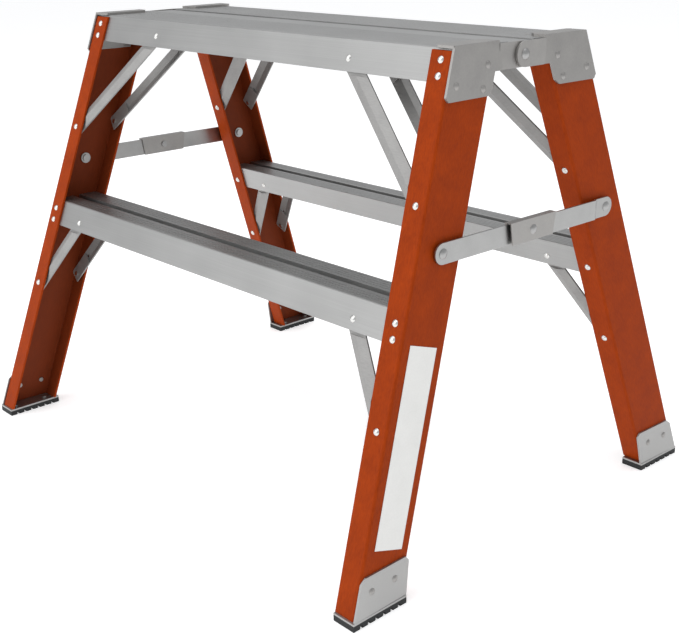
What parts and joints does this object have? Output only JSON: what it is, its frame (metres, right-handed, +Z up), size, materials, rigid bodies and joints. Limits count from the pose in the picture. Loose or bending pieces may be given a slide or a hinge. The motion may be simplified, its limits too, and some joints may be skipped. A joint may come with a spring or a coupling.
{
  "type": "folding sawhorse",
  "caption": "Folding sawhorse with splayed channel rails, paired top treads on one hinge line, lower steps, braces and locking end spreaders.",
  "frame": {"origin": "on the floor, under the middle of the sawhorse", "axes": "+X along the treads, +Y from the front half to the rear half, +Z up"},
  "size_m": [0.935, 0.7186, 0.6866],
  "materials": {
    "fibreglass": "pultruded fibreglass, orange, satin",
    "tread": "extruded aluminium, mill finish",
    "brace": "formed aluminium, mill finish",
    "bracket": "zinc plated steel plate, dull",
    "backing": "formed aluminium",
    "link": "zinc plated steel bar",
    "sleeve": "zinc plated folded steel",
    "shoe": "extruded aluminium, mill finish",
    "rivet": "domed aluminium rivets",
    "pin": "zinc plated steel rivets and washers",
    "rubber": "moulded black rubber",
    "label": "plain printed film"
  },
  "bodies": {
    "front_half": {"front_right_rail": "fibreglass", "front_left_rail": "fibreglass", "front_tread": "tread", "front_step": "tread", "front_right_bracket": "bracket", "front_left_bracket": "bracket", "front_right_backing": "backing", "front_left_backing": "backing", "front_right_outer_brace": "brace", "front_left_outer_brace": "brace", "front_right_inner_brace": "brace", "front_left_inner_brace": "brace", "front_right_outer_knee": "brace", "front_left_outer_knee": "brace", "front_right_inner_knee": "brace", "front_left_inner_knee": "brace", "front_right_shoe": "shoe", "front_left_shoe": "shoe", "front_right_pad": "rubber", "front_left_pad": "rubber", "front_link_pivots": "pin", "front_flange_rivets": "rivet", "front_web_fasteners": "rivet", "centre_strip": "tread", "right_hinge_pin": "pin", "left_hinge_pin": "pin", "label_panel": "label"},
    "rear_half": {"rear_right_rail": "fibreglass", "rear_left_rail": "fibreglass", "rear_tread": "tread", "rear_step": "tread", "rear_right_bracket": "bracket", "rear_left_bracket": "bracket", "rear_right_backing": "backing", "rear_left_backing": "backing", "rear_right_outer_brace": "brace", "rear_left_outer_brace": "brace", "rear_right_inner_brace": "brace", "rear_left_inner_brace": "brace", "rear_right_outer_knee": "brace", "rear_left_outer_knee": "brace", "rear_right_inner_knee": "brace", "rear_left_inner_knee": "brace", "rear_right_shoe": "shoe", "rear_left_shoe": "shoe", "rear_right_pad": "rubber", "rear_left_pad": "rubber", "rear_link_washers": "pin", "rear_flange_rivets": "rivet", "rear_web_fasteners": "rivet"},
    "right_front_spreader": {"right_front_link": "link"},
    "right_rear_spreader": {"right_rear_link": "link", "right_lock_sleeve": "sleeve", "right_link_rivets": "pin"},
    "left_front_spreader": {"left_front_link": "link"},
    "left_rear_spreader": {"left_rear_link": "link", "left_lock_sleeve": "sleeve", "left_link_rivets": "pin"}
  },
  "joints": [
    {"name": "rear_half_fold", "type": "hinge", "parent": "front_half", "child": "rear_half", "pos_m": [0, 0, 0.6662], "axis": [-1, 0, 0], "range_deg": [0, 37.2]},
    {"name": "right_front_link_turn", "type": "hinge", "parent": "front_half", "child": "right_front_spreader", "pos_m": [0, -0.16938, 0.4407], "axis": [1, 0, 0], "range_deg": [0, 39.86]},
    {"name": "right_rear_link_turn", "type": "hinge", "parent": "right_front_spreader", "child": "right_rear_spreader", "pos_m": [0, 0, 0.4407], "axis": [-1, 0, 0], "range_deg": [0, 116.92]},
    {"name": "left_front_link_turn", "type": "hinge", "parent": "front_half", "child": "left_front_spreader", "pos_m": [0, -0.16938, 0.4407], "axis": [1, 0, 0], "range_deg": [0, 39.86]},
    {"name": "left_rear_link_turn", "type": "hinge", "parent": "left_front_spreader", "child": "left_rear_spreader", "pos_m": [0, 0, 0.4407], "axis": [-1, 0, 0], "range_deg": [0, 116.92]}
  ],
  "couplings": [
    {"joint": "right_front_link_turn", "follows": "rear_half_fold", "ratio": 1.0714},
    {"joint": "right_rear_link_turn", "follows": "rear_half_fold", "ratio": 3.1429},
    {"joint": "left_front_link_turn", "follows": "rear_half_fold", "ratio": 1.0714},
    {"joint": "left_rear_link_turn", "follows": "rear_half_fold", "ratio": 3.1429}
  ]
}
